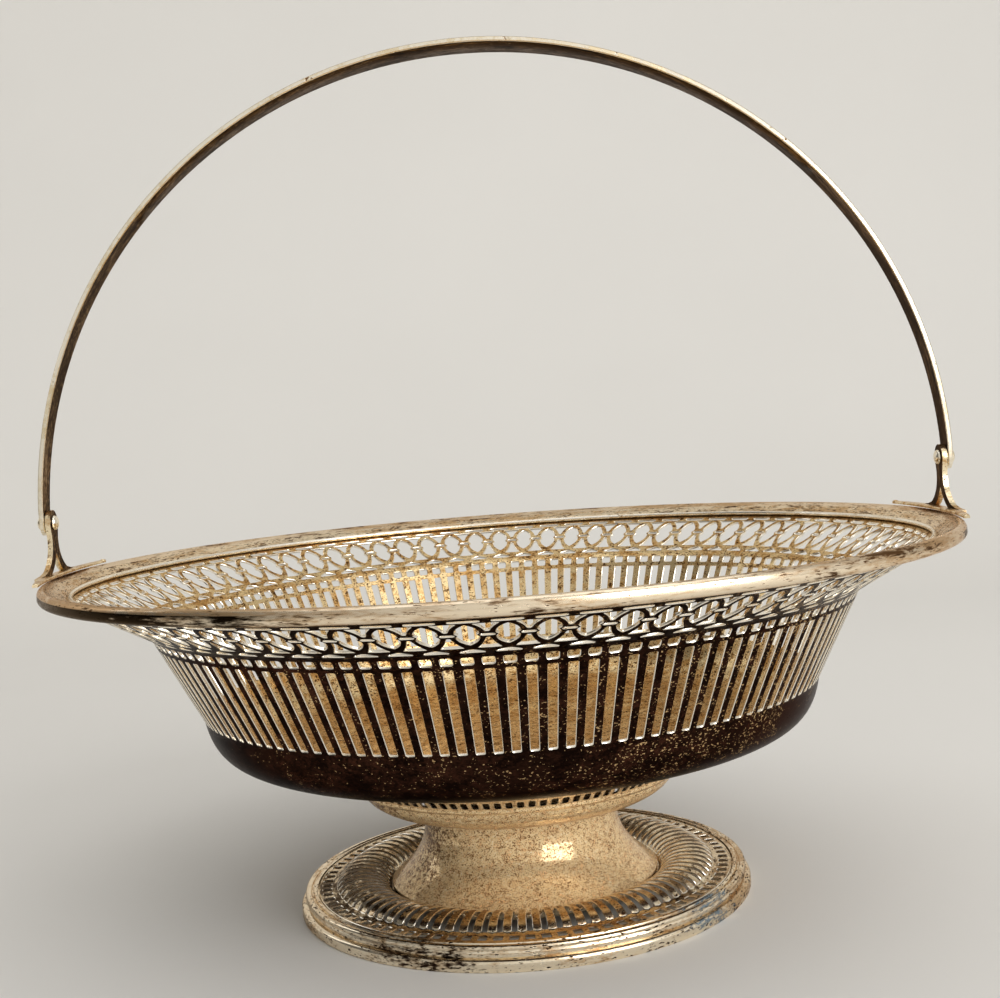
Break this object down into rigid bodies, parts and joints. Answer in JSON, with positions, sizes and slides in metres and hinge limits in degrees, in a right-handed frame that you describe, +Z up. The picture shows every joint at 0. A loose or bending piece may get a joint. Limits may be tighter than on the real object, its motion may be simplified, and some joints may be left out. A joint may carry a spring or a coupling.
{
  "type": "pierced basket with swing handle",
  "caption": "Round pierced metal basket with a flared brim and slotted wall, on a trumpet foot with a pierced ring, with a flat arched handle that swings on two forked lugs.",
  "frame": {"origin": "centre of the foot, on the surface that the basket stands on", "axes": "+Z up along the basket's axis; +X to the right of the picture, towards the right pivot of the handle; +Y away from the viewer"},
  "size_m": [0.2888, 0.28, 0.2665],
  "materials": {
    "foot_border": "worn silver plate, fine pitting",
    "foot_ring": "worn silver plate, cut edges bright",
    "stem": "tarnished silver plate, golden brown",
    "collar": "tarnished silver plate",
    "bowl": "tarnished silver plate, golden inside and brown black outside",
    "rim_border": "worn silver plate, champagne colour",
    "lug": "worn silver plate",
    "handle": "silver plate, tarnished on the inner face",
    "rivet": "bright silver plate"
  },
  "bodies": {
    "basket": {"foot_border": "foot_border", "foot_ring": "foot_ring", "stem": "stem", "collar": "collar", "bowl": "bowl", "rim_border": "rim_border", "right_lug": "lug", "left_lug": "lug", "right_rivet": "rivet", "left_rivet": "rivet"},
    "swing_handle": {"handle": "handle"}
  },
  "joints": [
    {"name": "handle_swing", "type": "hinge", "parent": "basket", "child": "swing_handle", "pos_m": [0, 0, 0.1273], "axis": [1, 0, 0], "range_deg": [-93.5, 93.5]}
  ]
}
